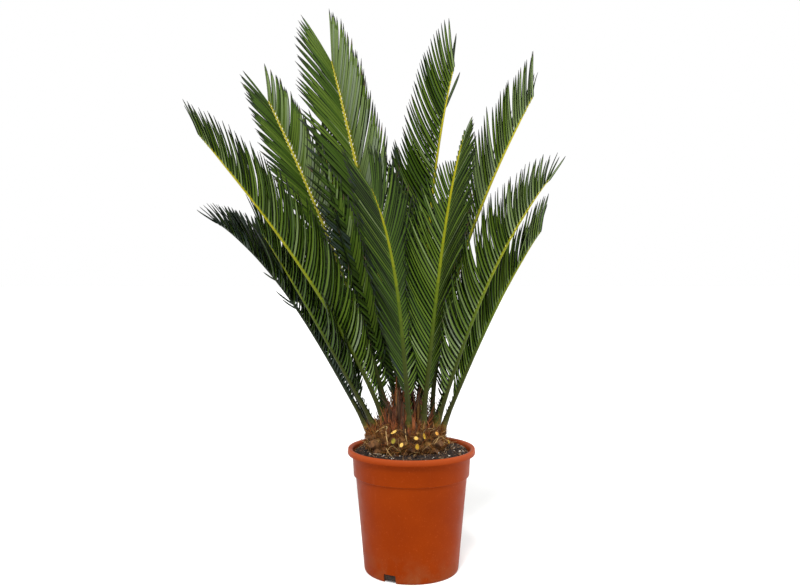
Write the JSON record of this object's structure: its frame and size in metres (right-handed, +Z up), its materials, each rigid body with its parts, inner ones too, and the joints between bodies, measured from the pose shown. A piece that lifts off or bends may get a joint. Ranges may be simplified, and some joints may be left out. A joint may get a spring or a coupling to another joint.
{
  "type": "potted sago palm",
  "caption": "Squat scaly cycad trunk in a round plastic nursery pot of soil, topped by a rosette of stiff feathery fronds; it stands on the pot's flat underside.",
  "frame": {"origin": "middle of the pot's flat underside, on the surface that the pot stands on", "axes": "+Z straight up; -Y is the front, the side with two short upright fronds; +X is to the right seen from the front"},
  "size_m": [0.6106, 0.5422, 1.013],
  "materials": {
    "pot_plastic": "satin",
    "potting_mix": "matte",
    "trunk_scales": "matte",
    "bud_scales": "matte",
    "leaf_green": "satin"
  },
  "bodies": {
    "root": {"pot": "pot_plastic", "soil": "potting_mix", "caudex": "trunk_scales", "crown_bud": "bud_scales", "frond_left_upper": "leaf_green", "frond_left_low": "leaf_green", "frond_left_middle": "leaf_green", "frond_back_left": "leaf_green", "frond_tall_left": "leaf_green", "frond_front_left": "leaf_green", "frond_front_right": "leaf_green", "frond_tall_right": "leaf_green", "frond_right_upper": "leaf_green", "frond_right_middle": "leaf_green", "frond_right_low": "leaf_green", "frond_back_middle": "leaf_green", "frond_back_tall": "leaf_green", "frond_back_right": "leaf_green", "frond_back_arched": "leaf_green", "frond_back_low_left": "leaf_green", "frond_back_low_right": "leaf_green", "frond_back_low": "leaf_green"}
  },
  "joints": []
}
